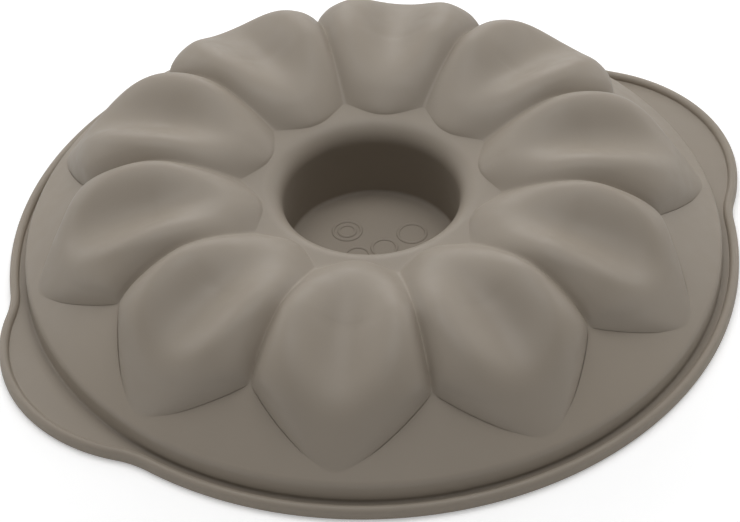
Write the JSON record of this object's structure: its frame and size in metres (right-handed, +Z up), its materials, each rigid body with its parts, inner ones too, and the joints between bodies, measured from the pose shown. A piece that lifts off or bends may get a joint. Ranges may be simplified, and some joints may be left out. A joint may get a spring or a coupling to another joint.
{
  "type": "silicone mousse mould",
  "caption": "Flexible silicone ring mould with spoon-shaped petals round a closed centre well, a sloped skirt, a beaded rim and a grip ear on each side, for mousse and cakes.",
  "frame": {"origin": "on the table under the centre of the mould, in the plane of the rim's underside", "axes": "+X through the middle of one grip ear, +Z up through the centre of the well"},
  "size_m": [0.2852, 0.26, 0.0481],
  "materials": {
    "silicone": "satin taupe silicone"
  },
  "bodies": {
    "root": {"petal_01": "silicone", "petal_02": "silicone", "petal_03": "silicone", "petal_04": "silicone", "petal_05": "silicone", "petal_06": "silicone", "petal_07": "silicone", "petal_08": "silicone", "petal_09": "silicone", "petal_10": "silicone", "top_ring": "silicone", "well_wall": "silicone", "well_floor": "silicone", "skirt": "silicone", "flange": "silicone", "edge_bead": "silicone", "grip_ear_right": "silicone", "grip_ear_left": "silicone"}
  },
  "joints": []
}
